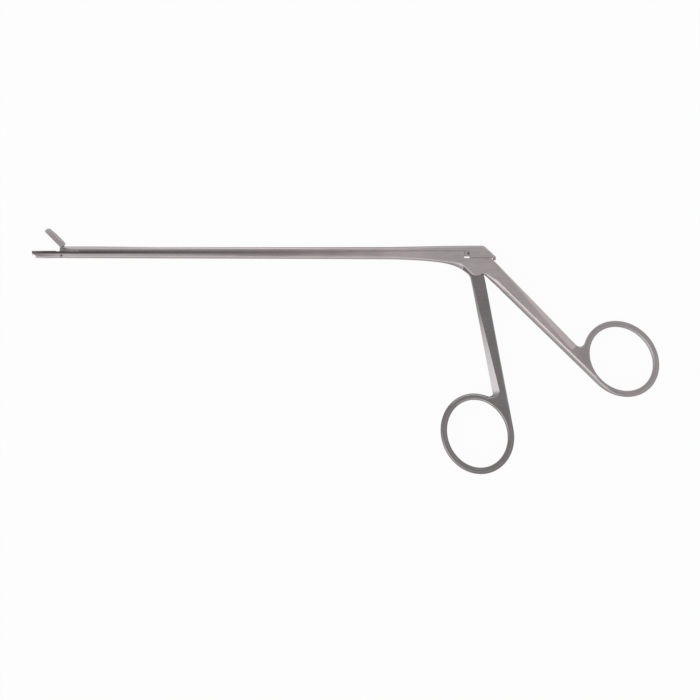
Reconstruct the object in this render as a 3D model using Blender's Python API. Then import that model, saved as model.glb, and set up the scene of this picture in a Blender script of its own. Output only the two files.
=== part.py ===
"""Disc rongeur: a long slide shaft with cup jaws at the front and two finger rings behind.

The frame is one forging: the lower shaft with its fixed cup jaw, the box, the rear
handle and its ring. The slide runs on top of it. Squeezing the front handle turns it
about the main screw, its fork pushes the slide forward, and the slide swings the upper
jaw down on the lower one.

The drawing plane is XY, with the main screw's axis at its origin, the shaft along X and
the thickness along Z about the middle plane. The instrument lies on its side.
"""
import math

import bmesh
import bpy
import numpy as np
from mathutils import Matrix

MM = 0.001
DEG = math.pi / 180

# Shaft and jaws
REACH = 180.0 * MM              # main screw to the tip of the fixed jaw
SHAFT_WIDTH = 3.6 * MM
JAW_WIDTH = 3.4 * MM
SPLIT_HEIGHT = 6.70 * MM        # top of the lower shaft, where the slide runs
SHAFT_DEPTH = 2.82 * MM         # lower shaft below the split, at the front
SHAFT_SAG = 0.40 * MM           # extra depth that the lower shaft gains by the box
JAW_RIM_RISE = 0.18 * MM        # the fixed jaw's rim above the split
NOSE_ROUND = 2.5 * MM
TIP_ROUND = 0.84                # roundness of the jaws in plan, 1 for a half circle
CUP_LENGTH = 8.2 * MM
CUP_WIDTH = 2.3 * MM
CUP_DEPTH = 1.35 * MM
CUP_LIP = 0.9 * MM              # steel left between the cup and the tip

# Box and flare
BOX_WIDTH = 6.4 * MM
SWELL_START = -62.0 * MM        # where the shaft begins to widen to the box
SWELL_END = -17.0 * MM
FLARE_START = -38.0 * MM        # where the underside begins to sweep down
FLARE_END = -5.8 * MM
FLARE_DROP = 4.2 * MM
CHEEK_TOP = SPLIT_HEIGHT - 2.77 * MM
SHOULDER = -4.98 * MM           # rear face of the frame's shoulder, in front of the window
LOBE_RADIUS = 3.3 * MM
UNDERSIDE_ROUND = 1.25 * MM
CHEEK_BEVEL = 0.35 * MM

# Slide
SLIDE_HEIGHT = 1.95 * MM        # slide above the split, at the nose
SLIDE_WAIST = 0.28 * MM         # how much lower its back runs along the middle
WAIST_START = 56.0 * MM - REACH  # the back has sunk to its low run here, from the nose
WAIST_RUN = 36.0 * MM
BLOCK_RUN = 40.0 * MM           # length over which the back rises to the rear block
BLOCK_HEIGHT = SPLIT_HEIGHT + 2.20 * MM  # back of the rear block above the main screw
BLOCK_FRONT = -2.63 * MM
BLOCK_TIP = 7.86 * MM
BLOCK_SLOPE = 43.0 * DEG
BLOCK_ROUND = 0.9 * MM
BLOCK_CORNER = SPLIT_HEIGHT - 2.35 * MM  # foot of the block's rear slope
WEB_WIDTH = 5.4 * MM
WEB_BOTTOM = SPLIT_HEIGHT - 2.04 * MM
LIP_BOTTOM = SPLIT_HEIGHT - 3.58 * MM
LIP_LENGTH = 1.0 * MM
LIP_WIDTH = 5.0 * MM
KEY_NECK = 1.2 * MM
KEY_HEAD = 2.0 * MM
KEY_NECK_HEIGHT = 0.6 * MM
KEY_HEAD_HEIGHT = 0.6 * MM
KEY_LENGTH = 5.0 * MM
KEY_PLACES = (23.0 * MM - REACH, -46.0 * MM)

# Mechanism
TRAVEL = 2.25 * MM              # slide stroke from open to closed
JAW_OPENING = 45.0 * DEG
JAW_PIVOT = (12.0 * MM - REACH, SPLIT_HEIGHT - 1.80 * MM)
JAW_PIN_RADIUS = 0.42 * MM
LINK_PIN_RADIUS = 0.40 * MM
TONGUE_WIDTH = 1.2 * MM
TONGUE_BOSS = 1.0 * MM
DRIVE_HEIGHT = SPLIT_HEIGHT - 1.10 * MM  # drive pin above the main screw
DRIVE_PIN_RADIUS = 0.80 * MM
FORK_HALF = 1.70 * MM
LEVER_BOSS = 2.6 * MM
SCREW_RADIUS = 1.5 * MM
SCREW_HEAD_RADIUS = 2.3 * MM
SCREW_HEAD_DEPTH = 0.9 * MM
SCREW_SLOT = (0.55 * MM, 0.45 * MM)
WEB_PIN_RADIUS = 0.42 * MM
WEB_PIN_PLACE = (-3.28 * MM, SPLIT_HEIGHT - 0.91 * MM)
WEB_PIN_SUNK = 0.9 * MM          # how far each end lies inside the web
JAW_THICKNESS = 2.65 * MM       # upper jaw, from its rim to its back
SKIN = 0.5 * MM                 # steel left where a hole stops short of the near side

# Clearances
SLIDE_GAP = 0.10 * MM           # between slide and frame
SIDE_GAP = 0.10 * MM            # each side of a tongue, key or lever in its slot
PIN_GAP = 0.04 * MM             # round a pin, on its radius
STOP_GAP = 0.12 * MM            # at the handle's stop, with the jaws open
BITE_GAP = 0.12 * MM            # between the rims, with the jaws closed
END_GAP = 0.2 * MM              # left ahead of a sliding shoulder at the end of its stroke
SWING_GAP = 0.35 * MM           # between the closed handle and the end of its slot
SWING_SPARE = 1.5 * DEG         # and the slot's end opens by this angle

# Handles: ring centre, half axes of the bore, turn of the long axis, width of the band
FINGER_RING = dict(centre=(0.43 * MM, -67.2 * MM), bore=(14.0 * MM, 11.95 * MM),
                   turn=-67.0 * DEG, band=2.65 * MM)
THUMB_RING = dict(centre=(58.7 * MM, -36.9 * MM), bore=(14.05 * MM, 11.6 * MM),
                  turn=-46.2 * DEG, band=2.5 * MM)
RING_FLAT = 0.4 * MM            # flat left on each face of a ring between its rounded edges
RING_WIDTH = 4.6 * MM
LEVER_WIDTH = 3.0 * MM
FINGER_BACK = (3.69 * MM, -5.95 * MM)
FINGER_ARM = 5.50 * MM
THUMB_BACK = (3.85 * MM, -3.25 * MM)
THUMB_ARM = (6.40 * MM, 5.30 * MM)  # width of the arm near the screw and by the ring
# The rear arm's ground edge, from its outer line: in from the edge, down from the face
GROUND_EDGE = np.array([(0.0, 1.7), (0.6, 0.95), (1.2, 0.30), (1.5, 0.15), (1.8, 0.0)]) * MM
TAPER_END = (50.0 * MM, 52.0 * MM)  # where each arm reaches its ring's thickness, rear and front
ROOT_FILLET = (1.3 * MM, 2.1 * MM)
FACET_TILT = (36.0 * DEG, 27.0 * DEG)
FACET_WIDTH = (2.8 * MM, 2.7 * MM)
FACET_START = 0.4 * MM          # width of a facet where it starts
SCOOP_RADIUS = 3.0 * MM

# Finish of the surfaces' division
ARC_STEP = 12.0 * DEG
RING_STEP = 5.0 * DEG
LONG_STEP = 6.0 * MM


def smooth(value):
    """Rise from 0 to 1 with no corner at either end."""
    t = np.clip(value, 0.0, 1.0)
    return t * t * (3.0 - 2.0 * t)


def unit(angle):
    return np.array([math.cos(angle), math.sin(angle)])


def arc(centre, radius, start, end, step=ARC_STEP):
    """Points from angle start to angle end about centre."""
    count = max(2, int(math.ceil(abs(end - start) / step)) + 1)
    angles = np.linspace(start, end, count)
    return np.column_stack([centre[0] + radius * np.cos(angles), centre[1] + radius * np.sin(angles)])


def corner(before, at, after, radius):
    """The arc of a radius that rounds the corner between two straight sides."""
    before, at, after = (np.array(p, float) for p in (before, at, after))
    a = (before - at) / np.linalg.norm(before - at)
    b = (after - at) / np.linalg.norm(after - at)
    half = math.acos(max(-1.0, min(1.0, float(a @ b)))) / 2
    middle = (a + b) / np.linalg.norm(a + b)
    centre = at + middle * radius / math.sin(half)
    start = at + a * radius / math.tan(half) - centre
    end = at + b * radius / math.tan(half) - centre
    first = math.atan2(start[1], start[0])
    sweep = (math.atan2(end[1], end[0]) - first + math.pi) % (2 * math.pi) - math.pi
    return arc(centre, radius, first, first + sweep)


def edged(points, edge, ground=0.0):
    """Points with the rounding of the edge beside them, and how far it is ground instead, 0 to 1."""
    points = np.asarray(points, float)
    count = len(points)
    return np.column_stack([points, np.broadcast_to(edge, count), np.broadcast_to(ground, count)])


def divide(loop, longest):
    """A closed outline with points added wherever a side is longer than the longest."""
    out = []
    for a, b in zip(loop, np.roll(loop, -1, axis=0)):
        count = max(1, int(math.ceil(np.linalg.norm(b[:2] - a[:2]) / longest - 1e-6)))
        out.extend(a + (b - a) * i / count for i in range(count))
    return np.array(out)


def inward(loop):
    """The inward direction at each point of a closed outline that runs counter-clockwise."""
    forward = np.roll(loop, -1, axis=0)[:, :2] - loop[:, :2]
    forward /= np.linalg.norm(forward, axis=1)[:, None]
    normal = np.column_stack([-forward[:, 1], forward[:, 0]])
    both = normal + np.roll(normal, 1, axis=0)
    length = np.linalg.norm(both, axis=1)
    both /= length[:, None]
    return both / np.maximum(length / 2, 0.5)[:, None]


def plate_mesh(name, loops, half_width):
    """A forged plate: outlines (counter-clockwise outside, clockwise holes) given their thickness.

    half_width(points) is half the thickness at each point. Each point's third value is
    the radius that rounds the edge there, and its fourth how far the edge is ground flat.
    """
    mesh = bmesh.new()
    turns = np.linspace(0.0, math.pi / 2, len(GROUND_EDGE))
    for loop in loops:
        side = inward(loop)
        flat, edge, ground = loop[:, :2], loop[:, 2], loop[:, 3]
        rows = []
        for sign in (1, -1):
            layer = []
            for turn, (ground_in, ground_down) in zip(turns, GROUND_EDGE):
                inset = edge * (1 - math.cos(turn)) * (1 - ground) + ground_in * ground
                down = edge * (1 - math.sin(turn)) * (1 - ground) + ground_down * ground
                spot = flat + side * inset[:, None]
                height = half_width(spot) - down
                layer.append([mesh.verts.new((x, y, sign * z)) for (x, y), z in zip(spot, height)])
            rows.append(layer)
        strips = rows[0][::-1] + rows[1]
        for upper, lower in zip(strips, strips[1:]):
            for i in range(len(loop)):
                j = (i + 1) % len(loop)
                mesh.faces.new((upper[i], upper[j], lower[j], lower[i]))
    mesh.edges.ensure_lookup_table()
    rims = [e for e in mesh.edges if len(e.link_faces) == 1]
    for sign in (1, -1):
        rim = [e for e in rims if e.verts[0].co.z * sign > 0]
        bmesh.ops.triangle_fill(mesh, edges=rim, use_beauty=True, use_dissolve=False)
    return closed(name, mesh)


def closed(name, mesh):
    """Turn every face outwards and hand the mesh over."""
    bmesh.ops.recalc_face_normals(mesh, faces=mesh.faces)
    data = bpy.data.meshes.new(name)
    mesh.to_mesh(data)
    mesh.free()
    return data


def loft_mesh(name, rings):
    """A closed body through rings of points, each with as many points."""
    mesh = bmesh.new()
    rows = [[mesh.verts.new(p) for p in ring] for ring in rings]
    for a, b in zip(rows, rows[1:]):
        for i in range(len(a)):
            j = (i + 1) % len(a)
            mesh.faces.new((a[i], a[j], b[j], b[i]))
    mesh.faces.new(rows[0])
    mesh.faces.new(rows[-1])
    return closed(name, mesh)


def prism_mesh(name, outline, low, high):
    """An outline in the drawing plane carried from z low to z high."""
    return loft_mesh(name, [[(x, y, z) for x, y in outline] for z in (low, high)])


def block_mesh(name, low, high):
    outline = [(low[0], low[1]), (high[0], low[1]), (high[0], high[1]), (low[0], high[1])]
    return prism_mesh(name, outline, low[2], high[2])


def rod_mesh(name, centre, radius, low, high, sides=32):
    angles = np.linspace(0, 2 * math.pi, sides, endpoint=False)
    outline = [(centre[0] + radius * math.cos(a), centre[1] + radius * math.sin(a)) for a in angles]
    return prism_mesh(name, outline, low, high)


def steel(name, colour, roughness):
    """Stainless steel of one finish."""
    material = bpy.data.materials.new(name)
    material.use_nodes = True
    shader = material.node_tree.nodes["Principled BSDF"]
    shader.inputs["Base Color"].default_value = (*colour, 1.0)
    shader.inputs["Metallic"].default_value = 1.0
    shader.inputs["Roughness"].default_value = roughness
    return material


def add_piece(name, data, material, axis=(0.0, 0.0)):
    """A named piece whose origin is on its own axis, drawn in the common drawing plane."""
    data.transform(Matrix.Translation((-axis[0], -axis[1], 0.0)))
    piece = bpy.data.objects.new(name, data)
    bpy.context.collection.objects.link(piece)
    piece.parent = root
    piece.location = (axis[0], axis[1], 0.0)
    data.materials.append(material)
    data.shade_smooth()
    data.set_sharp_from_angle(angle=35 * DEG)
    return piece


def shape_with(piece, data, operation="DIFFERENCE"):
    """Cut a piece with a tool, or join the tool's shape to it."""
    tool = bpy.data.objects.new("tool_" + data.name, data)
    bpy.context.collection.objects.link(tool)
    data.transform(Matrix.Translation((-piece.location.x, -piece.location.y, 0.0)))
    tool.parent = piece
    tool.hide_render = True
    tool.display_type = "WIRE"
    step = piece.modifiers.new(data.name, "BOOLEAN")
    step.operation = operation
    step.solver = "EXACT"
    step.object = tool


# Start from an empty scene
for old in list(bpy.data.objects):
    bpy.data.objects.remove(old, do_unlink=True)

root = bpy.data.objects.new("instrument", None)
bpy.context.collection.objects.link(root)

satin = steel("satin_stainless", (0.60, 0.56, 0.57), 0.34)
dark_satin = steel("dark_satin_stainless", (0.46, 0.43, 0.43), 0.30)
pin_steel = steel("turned_pin_steel", (0.55, 0.53, 0.53), 0.25)

JAW_RIM = SPLIT_HEIGHT + JAW_RIM_RISE
SLIDE_BOTTOM = SPLIT_HEIGHT + SLIDE_GAP
HALF_SHAFT = SHAFT_WIDTH / 2
HALF_BOX = BOX_WIDTH / 2
HALF_JAW = JAW_WIDTH / 2
SLOT_HALF = LEVER_WIDTH / 2 + SIDE_GAP
CUT = 2 * BOX_WIDTH             # reach of a tool that passes through everything

# Throw of each link, from the slide's stroke
LINK_ARM = TRAVEL / (2 * math.sin(JAW_OPENING / 2))
LINK_HEIGHT = JAW_PIVOT[1] + LINK_ARM * math.cos(JAW_OPENING / 2)
LINK_PLACE = (JAW_PIVOT[0] + TRAVEL / 2, LINK_HEIGHT)
DRIVE_PLACE = (TRAVEL / 2, DRIVE_HEIGHT)
DRIVE_SWING = math.atan2(TRAVEL / 2, DRIVE_HEIGHT)
SQUEEZE = 2 * DRIVE_SWING       # the front handle's turn from open to closed
SLIDE_NOSE = LINK_PLACE[0] - LINK_PIN_RADIUS - 0.38 * MM


def bar_half_width(x):
    """Half the thickness of frame and slide along the shaft, swelling to the box."""
    return HALF_SHAFT + (HALF_BOX - HALF_SHAFT) * smooth((x - SWELL_START) / (SWELL_END - SWELL_START))


def underside(x):
    """Height of the frame's underside: a slow sag, then the flare down to the handle's stop."""
    sag = SHAFT_SAG * smooth((x + REACH * 0.75) / (REACH * 0.6))
    t = np.clip((x - FLARE_START) / (FLARE_END - FLARE_START), 0.0, 1.0)
    return SPLIT_HEIGHT - SHAFT_DEPTH - sag - FLARE_DROP * (0.52 * t ** 2 + 0.48 * t ** 8)


def back_height(x):
    """Height of the slide's back, which dips a little along the middle."""
    front = SLIDE_BOTTOM + SLIDE_HEIGHT - SLIDE_GAP
    low = front - SLIDE_WAIST
    nose_rise = SLIDE_WAIST * smooth((WAIST_START - x) / WAIST_RUN)
    block_rise = (BLOCK_HEIGHT - low) * smooth((x + BLOCK_RUN) / BLOCK_RUN)
    return low + nose_rise + block_rise


def ring_points(ring, extra, start, end, step=RING_STEP):
    """The ring's oval, its half axes widened by extra, from one turn to another."""
    count = max(2, int(math.ceil(abs(end - start) / step)) + 1)
    turns = np.linspace(start, end, count)
    long_axis, short_axis = unit(ring["turn"]), unit(ring["turn"] + math.pi / 2)
    a, b = ring["bore"][0] + extra, ring["bore"][1] + extra
    from_centre = np.outer(a * np.cos(turns), long_axis) + np.outer(b * np.sin(turns), short_axis)
    return np.array(ring["centre"]) + from_centre


def ring_turn(ring, extra, spot):
    """The turn of the oval that points at a spot."""
    d = np.array(spot) - np.array(ring["centre"])
    a, b = ring["bore"][0] + extra, ring["bore"][1] + extra
    return math.atan2(d @ unit(ring["turn"] + math.pi / 2) / b, d @ unit(ring["turn"]) / a)


def tangent_turn(ring, spot, side):
    """The turn where a straight edge from a spot meets the ring's outer oval."""
    d = np.array(spot) - np.array(ring["centre"])
    a, b = ring["bore"][0] + ring["band"], ring["bore"][1] + ring["band"]
    q = np.array([d @ unit(ring["turn"]) / a, d @ unit(ring["turn"] + math.pi / 2) / b])
    return math.atan2(q[1], q[0]) + side * math.acos(1.0 / np.linalg.norm(q))


def arm_edge(ring, back, side):
    """An arm's back edge, tangent to its ring: the turn and spot there, the ways along and across."""
    turn = tangent_turn(ring, back, side)
    touch = ring_points(ring, ring["band"], turn, turn)[0]
    along = (touch - np.array(back)) / np.linalg.norm(touch - np.array(back))
    return turn, touch, along, side * np.array([-along[1], along[0]])


def root_fillet(ring, start, direction, outside, radius, reach):
    """The fillet between an arm's edge and the ring: its points, from the edge to the oval."""
    oval = ring_points(ring, ring["band"], 0.0, 2 * math.pi, 0.5 * DEG)
    near, far = 0.0, reach
    for along in np.arange(0.0, reach, radius / 2):
        if np.linalg.norm(oval - (start + direction * along + outside * radius), axis=1).min() < radius:
            near, far = along - radius / 2, along
            break
    for _ in range(30):
        middle = (near + far) / 2
        centre = start + direction * middle + outside * radius
        if np.linalg.norm(oval - centre, axis=1).min() > radius:
            near = middle
        else:
            far = middle
    meet = oval[np.linalg.norm(oval - centre, axis=1).argmin()]
    foot = start + direction * near
    first = math.atan2(*(foot - centre)[::-1])
    last = math.atan2(*(meet - centre)[::-1])
    sweep = (last - first + math.pi) % (2 * math.pi) - math.pi
    return arc(centre, radius, first, first + sweep, 15 * DEG), meet, foot


def handle_half_width(points, inner, reach):
    """Half the thickness of a handle, from inner near the screw to the ring's own."""
    distance = np.linalg.norm(points, axis=1)
    return inner + (RING_WIDTH / 2 - inner) * smooth((distance - 8 * MM) / (reach - 8 * MM))


def grind_facet(piece, name, start, direction, inside, length, width, tilt, half_width):
    """Grind the facet along an arm's ring side, on both faces, with its scooped end.

    Across the arm the wheel's floor falls from the face to the arm's edge at the tilt.
    The facet widens along the arm, and the floor lifts along an arc at the end.
    """
    outside = 3 * MM
    clear = 1 * MM
    scoop = length + SCOOP_RADIUS * np.sin(np.linspace(10, 75, 7) * DEG)
    stations = np.concatenate([np.linspace(-outside, length, 12), scoop])
    for sign in (1, -1):
        rows = []
        for s in stations:
            wide = FACET_START + (width - FACET_START) * max(0.0, s / length)
            beyond = max(0.0, s - length) / SCOOP_RADIUS
            lift = SCOOP_RADIUS * (1 - math.sqrt(max(0.0, 1 - beyond ** 2)))
            spot = start + direction * s
            face = float(half_width(np.array([spot + inside * wide]))[0])
            low = face - wide * math.tan(tilt) + lift
            high = face + clear * math.tan(tilt) + lift
            above = face + 6 * MM
            section = [(-outside, low), (0.0, low), (wide + clear, high)]
            section += [(wide + clear, above), (-outside, above)]
            rows.append([(*(spot + inside * t), sign * z) for t, z in section])
        side = "near" if sign > 0 else "far"
        shape_with(piece, loft_mesh(f"{name}_{side}", rows))


THUMB_TURN, THUMB_TOUCH, thumb_along, thumb_across = arm_edge(THUMB_RING, THUMB_BACK, 1)
FINGER_TURN, FINGER_TOUCH, finger_along, finger_across = arm_edge(FINGER_RING, FINGER_BACK, -1)

# Frame: lower shaft, fixed cup jaw, box, rear handle and thumb ring, one forging
tip = -REACH
into_flare = 1 - (1 - np.linspace(0, 1, 16)) ** 1.5
shaft_x = np.linspace(tip + 2 * NOSE_ROUND, FLARE_START, 26)[:-1]
flare_x = np.concatenate([shaft_x, FLARE_START + (FLARE_END - FLARE_START) * into_flare])
under = np.column_stack([flare_x, underside(flare_x)])
stop_low = under[-1]
SHAFT_ROUND = HALF_JAW - 0.15 * MM
from_stop = np.linalg.norm(under - stop_low, axis=1)
from_nose = flare_x - flare_x[0]
under_edge = SHAFT_ROUND + (UNDERSIDE_ROUND - SHAFT_ROUND) * smooth((flare_x - SWELL_START) / BLOCK_RUN)
under_edge = np.minimum(under_edge, 0.3 * MM + 0.45 * from_stop)
under_edge = np.minimum(under_edge, 1.0 * MM + 0.2 * from_nose)
STOP_RUN = 1.32 * MM            # length of the face that stops the handle
stop_rise = unit(63.0 * DEG)
stop_out = np.array([stop_rise[1], -stop_rise[0]])
stop_high = stop_low + stop_rise * STOP_RUN
LOBE_SPAN = (-126.0 * DEG, -42.0 * DEG)
ARM_TAPER = (5 * MM, 49 * MM)   # where the rear arm's two widths are taken, along its back edge
thumb_back = np.array(THUMB_BACK)
thumb_top = thumb_back + thumb_along * ARM_TAPER[0] + thumb_across * THUMB_ARM[0]
thumb_end = thumb_back + thumb_along * ARM_TAPER[1] + thumb_across * THUMB_ARM[1]
thumb_edge = (thumb_end - thumb_top) / np.linalg.norm(thumb_end - thumb_top)
thumb_out = np.array([-thumb_edge[1], thumb_edge[0]])
thumb_fillet, thumb_meet, thumb_foot = root_fillet(
    THUMB_RING, thumb_top, thumb_edge, thumb_out, ROOT_FILLET[1], 70 * MM)
cheek_rear = thumb_top + thumb_edge * ((CHEEK_TOP - thumb_top[1]) / thumb_edge[1])
thumb_last = ring_turn(THUMB_RING, THUMB_RING["band"], thumb_meet)
if thumb_last < THUMB_TURN:
    thumb_last += 2 * math.pi

rim_foot = SLIDE_NOSE - TRAVEL - 0.15 * MM
tip_high = (tip, JAW_RIM)
tip_low = (tip, SPLIT_HEIGHT - SHAFT_DEPTH)
nose = corner(tip_high, tip_low, (tip + 9 * MM, tip_low[1]), NOSE_ROUND)
SHARP = 0.08 * MM
under_ground = smooth((flare_x + 13 * MM) / (5.5 * MM))
lobe = arc((0, 0), LOBE_RADIUS, *LOBE_SPAN)
thumb_band = ring_points(THUMB_RING, THUMB_RING["band"], THUMB_TURN, thumb_last)[:-1]
thumb_round = (THUMB_RING["band"] - RING_FLAT) / 2
frame_outline = np.vstack([
    edged(nose, np.linspace(0.25 * MM, 1.0 * MM, len(nose))),
    edged(under, under_edge, under_ground),
    edged([stop_high], 0.4 * MM),
    edged(lobe, np.linspace(0.6 * MM, CHEEK_BEVEL, len(lobe))),
    edged([thumb_back], 0.6 * MM, 0.3),
    edged([thumb_back + thumb_along * 4.5 * MM], 0.6 * MM, 1.0),
    edged(thumb_band, thumb_round, np.clip(1 - np.arange(len(thumb_band)) / 6, 0, 1)),
    edged(thumb_fillet[::-1], np.linspace(thumb_round, 0.4 * MM, len(thumb_fillet))),
    edged([thumb_foot - thumb_edge * 3 * MM, thumb_top], 0.3 * MM),
    edged([cheek_rear], 0.15 * MM),
    edged([(SHOULDER, CHEEK_TOP), (SHOULDER, SPLIT_HEIGHT)], SHARP),
    edged([(rim_foot, SPLIT_HEIGHT), (rim_foot - 0.3 * MM, JAW_RIM)], SHARP),
    edged([tip_high], 0.12 * MM),
])
frame_outline = divide(frame_outline, LONG_STEP)
thumb_bore = edged(ring_points(THUMB_RING, 0.0, 2 * math.pi, 0.0)[:-1], thumb_round)


def thumb_half_width(points):
    return handle_half_width(points, HALF_BOX, TAPER_END[0])


def frame_half_width(points):
    """Half the thickness: the shaft, the swell to the box, then the taper down to the ring."""
    bar = bar_half_width(points[:, 0])
    body = np.where(points[:, 0] < 0, bar, thumb_half_width(points))
    into_tip = np.clip((points[:, 0] - tip) / HALF_JAW, 0.0, 1.0)
    jaw = HALF_JAW * np.sqrt(1 - (1 - into_tip) ** 2 * TIP_ROUND)
    return np.where(points[:, 0] < JAW_PIVOT[0] + 1.5 * MM, jaw, body)


frame = add_piece("frame", plate_mesh("frame", [frame_outline, thumb_bore], frame_half_width), satin)

thumb_length = np.linalg.norm(thumb_foot - thumb_top) - 1.2 * MM
grind_facet(frame, "thumb_facet", thumb_top, thumb_edge, -thumb_out, thumb_length,
            FACET_WIDTH[1], FACET_TILT[1], thumb_half_width)

# The lever's slot between the cheeks, as wide as the handle sweeps
sweep_edge = unit(math.atan2(finger_along[1], finger_along[0]) + SQUEEZE + SWING_SPARE)
sweep_side = np.array([-sweep_edge[1], sweep_edge[0]])
back_offset = abs(float(np.array(FINGER_BACK) @ finger_across))
slot_side = LEVER_BOSS + 0.4 * MM
sweep_start = sweep_side * (back_offset + SWING_GAP)
sweep_top = sweep_start + sweep_edge * ((slot_side - sweep_start[0]) / sweep_edge[0])
stop_line = stop_low + stop_out * 0.03 * MM
slot_high = SPLIT_HEIGHT + 1 * MM
lever_slot = [
    (-slot_side, slot_high),
    (-slot_side, 1.30 * MM),
    tuple(stop_line + stop_rise * (STOP_RUN - 0.12 * MM)),
    tuple(stop_line - stop_rise * 2.5 * MM),
    (-4 * MM, -12 * MM),
    tuple(sweep_top + sweep_edge * 14 * MM),
    tuple(sweep_top),
    (slot_side, slot_high),
]
shape_with(frame, prism_mesh("lever_slot", lever_slot, -SLOT_HALF, SLOT_HALF))

# The pocket that takes the slide's web, and the notch for its rear lip
web_front = SHOULDER - 0.35 * MM
half_pocket = WEB_WIDTH / 2 + SIDE_GAP
pocket_low = (web_front - TRAVEL - END_GAP, WEB_BOTTOM - 0.12 * MM, -half_pocket)
pocket_high = (SHOULDER + 1 * MM, slot_high, half_pocket)
shape_with(frame, block_mesh("web_pocket", pocket_low, pocket_high))
lip_front = BLOCK_TIP - LIP_LENGTH
half_notch = LIP_WIDTH / 2 + SIDE_GAP
notch_low = (lip_front - TRAVEL - END_GAP, LIP_BOTTOM - 0.15 * MM, -half_notch)
notch_high = (BLOCK_TIP + 3 * MM, SPLIT_HEIGHT, half_notch)
shape_with(frame, block_mesh("lip_notch", notch_low, notch_high))

# T-slots: a run under the shaft's top for each key, and a mouth behind it to drop the key in
key_top = SPLIT_HEIGHT + 0.5 * MM
head_top = SPLIT_HEIGHT - KEY_NECK_HEIGHT
head_low = head_top - KEY_HEAD_HEIGHT
neck_half = KEY_NECK / 2 + SIDE_GAP
head_half = KEY_HEAD / 2 + SIDE_GAP
mouth_half = head_half + 0.02 * MM
run_low = head_low - SLIDE_GAP
mouth_low = run_low - 0.02 * MM
for number, place in enumerate(KEY_PLACES, 1):
    front = place - KEY_LENGTH / 2 - TRAVEL - END_GAP
    rear = place + KEY_LENGTH / 2 + END_GAP
    mouth_end = rear + KEY_LENGTH + 0.3 * MM
    neck_run = (front, head_low + 0.2 * MM, -neck_half), (rear + 0.3 * MM, key_top, neck_half)
    head_run = (front, run_low, -head_half), (rear + 0.1 * MM, head_top + 0.02 * MM, head_half)
    mouth = (rear, mouth_low, -mouth_half), (mouth_end, key_top, mouth_half)
    shape_with(frame, block_mesh(f"neck_run_{number}", *neck_run))
    shape_with(frame, block_mesh(f"head_run_{number}", *head_run))
    shape_with(frame, block_mesh(f"mouth_{number}", *mouth))

# The slot for the jaw's tongue, and the fixed jaw's cup
tongue_half = TONGUE_WIDTH / 2 + SIDE_GAP
tongue_low = (JAW_PIVOT[0] - 3.5 * MM, 0.0, -tongue_half)
tongue_high = (JAW_PIVOT[0] + 2.15 * MM, JAW_RIM + 1 * MM, tongue_half)
shape_with(frame, block_mesh("tongue_slot", tongue_low, tongue_high))


def cup_mesh(name, centre, size):
    """The hollow of a cup jaw: a ball stretched to length, depth and width."""
    tool = bmesh.new()
    bmesh.ops.create_uvsphere(tool, u_segments=24, v_segments=12, radius=1.0)
    stretch = Matrix.Translation(centre) @ Matrix.Diagonal((*size, 1.0))
    bmesh.ops.transform(tool, matrix=stretch, verts=tool.verts)
    return closed(name, tool)


cup_middle = tip + CUP_LIP + CUP_LENGTH / 2
cup_size = (CUP_LENGTH / 2, CUP_DEPTH, CUP_WIDTH / 2)
shape_with(frame, cup_mesh("lower_cup", (cup_middle, JAW_RIM, 0.0), cup_size))

# Holes for the jaw's pivot pin and the main screw, which stops inside the near cheek
shape_with(frame, rod_mesh("jaw_pin_hole", JAW_PIVOT, JAW_PIN_RADIUS + PIN_GAP, -CUT, CUT, 24))
shape_with(frame, rod_mesh("screw_hole", (0, 0), SCREW_RADIUS + PIN_GAP, -CUT, HALF_BOX - SKIN))
seat_radius = SCREW_HEAD_RADIUS + PIN_GAP
shape_with(frame, rod_mesh("screw_seat", (0, 0), seat_radius, -CUT, -HALF_BOX + SCREW_HEAD_DEPTH, 40))

# Slide: bar, rear block with its web and lip, keys and forked nose, one piece
slide_high = float(back_height(np.array([SLIDE_NOSE]))[0])
nose_bevel = 0.78 * MM
block_corner = np.array([BLOCK_TIP, BLOCK_CORNER])
block_bottom = CHEEK_TOP + 0.12 * MM
slope = unit(math.pi - BLOCK_SLOPE)
slope_top = block_corner + slope * (BLOCK_HEIGHT - block_corner[1]) / slope[1]
block_arc = corner(block_corner, slope_top, (-2 * MM, BLOCK_HEIGHT), 2.6 * MM)
rear_x = np.linspace(-2 * MM, -BLOCK_RUN, 8)
middle_x = np.linspace(-BLOCK_RUN - LONG_STEP, WAIST_START, 14)[:-1]
front_x = np.linspace(WAIST_START, 16 * MM - REACH, 8)
back_x = np.concatenate([rear_x, middle_x, front_x])
back = np.column_stack([back_x, back_height(back_x)])
back_round = np.minimum(bar_half_width(back_x), SLIDE_HEIGHT - SLIDE_GAP - SLIDE_WAIST) - 0.22 * MM
back_round = back_round + (BLOCK_ROUND - back_round) * smooth((back_x + BLOCK_RUN + 5 * MM) / BLOCK_RUN)
slide_outline = np.vstack([
    edged([(SLIDE_NOSE, SLIDE_BOTTOM)], SHARP),
    edged([(BLOCK_FRONT, SLIDE_BOTTOM), (BLOCK_FRONT, block_bottom)], SHARP),
    edged([(BLOCK_TIP - 0.05 * MM, block_bottom)], 0.12 * MM),
    edged([block_corner], 0.2 * MM),
    edged([block_corner + slope * 1.2 * MM], BLOCK_ROUND * 0.6),
    edged(block_arc, BLOCK_ROUND),
    edged(back, back_round),
    edged([(SLIDE_NOSE + nose_bevel, slide_high)], 0.5 * MM),
    edged([(SLIDE_NOSE, slide_high - nose_bevel)], 0.15 * MM),
])
slide_outline = divide(slide_outline, LONG_STEP)
slide_mesh = plate_mesh("slide", [slide_outline], lambda points: bar_half_width(points[:, 0]))
slide = add_piece("slide", slide_mesh, satin, LINK_PLACE)

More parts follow.
